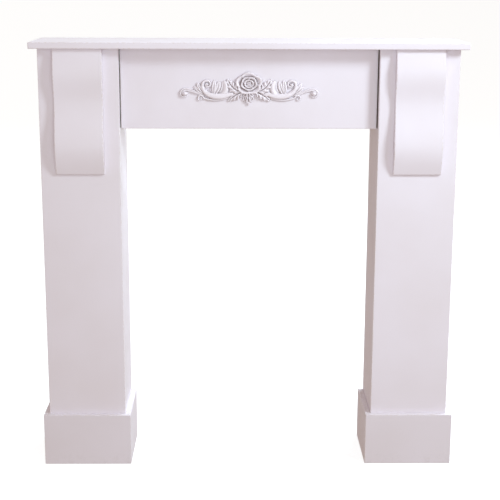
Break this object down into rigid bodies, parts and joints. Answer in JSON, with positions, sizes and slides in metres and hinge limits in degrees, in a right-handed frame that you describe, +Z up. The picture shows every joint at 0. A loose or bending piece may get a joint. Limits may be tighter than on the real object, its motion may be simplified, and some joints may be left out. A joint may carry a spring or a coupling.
{
  "type": "fireplace mantelpiece",
  "caption": "Painted board mantelpiece: a shelf on hollow legs with plinths, S-curved corbels and a recessed frieze with a moulded rose spray.",
  "frame": {"origin": "on the floor, under the middle of the shelf in width and depth", "axes": "+X along the shelf to the viewer's right, -Y towards the room and +Y towards the wall, +Z up"},
  "size_m": [1, 0.2, 1.02],
  "materials": {
    "shelf_paint": "satin white paint on smooth fibreboard",
    "board_paint": "satin white paint on smooth fibreboard",
    "plinth_paint": "satin white paint on smooth fibreboard",
    "corbel_paint": "satin white paint on shaped wood",
    "ornament_paint": "soft white paint on a resin moulding"
  },
  "bodies": {
    "root": {"mantel_shelf": "shelf_paint", "frieze_board": "board_paint", "rose_ornament": "ornament_paint", "left_leg_front": "board_paint", "left_leg_outer_side": "board_paint", "left_leg_inner_side": "board_paint", "left_plinth_front": "plinth_paint", "left_plinth_outer_side": "plinth_paint", "left_plinth_inner_side": "plinth_paint", "left_corbel": "corbel_paint", "right_leg_front": "board_paint", "right_leg_outer_side": "board_paint", "right_leg_inner_side": "board_paint", "right_plinth_front": "plinth_paint", "right_plinth_outer_side": "plinth_paint", "right_plinth_inner_side": "plinth_paint", "right_corbel": "corbel_paint"}
  },
  "joints": []
}
